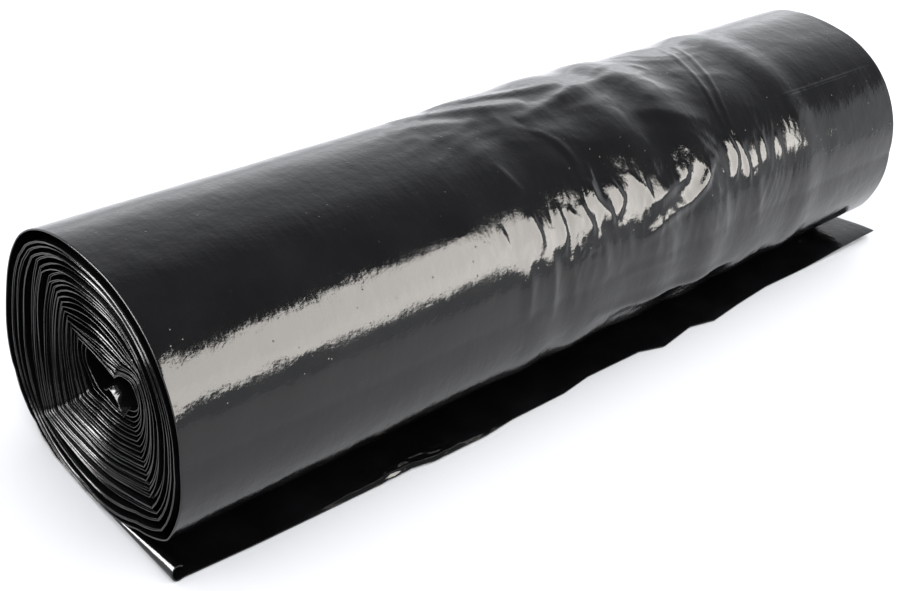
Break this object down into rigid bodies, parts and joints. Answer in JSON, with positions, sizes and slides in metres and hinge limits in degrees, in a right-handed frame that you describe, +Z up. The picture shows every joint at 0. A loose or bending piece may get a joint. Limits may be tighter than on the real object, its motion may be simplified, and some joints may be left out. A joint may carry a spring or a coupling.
{
  "type": "bin bag roll",
  "caption": "Coreless roll of black bin bags in glossy plastic film: a folded strip wound in many loose turns, with dished ends, gathers and a flat tail on the floor.",
  "frame": {"origin": "on the floor, at mid length of the strip, straight under the middle of the open core", "axes": "+X along the roll from the near, dished end to the far end, +Z up, the tail lies towards -Y"},
  "size_m": [0.3595, 0.0929, 0.0823],
  "materials": {
    "black_film": "glossy black polyethylene film with fine creases"
  },
  "bodies": {
    "root": {"film_roll": "black_film"}
  },
  "joints": []
}
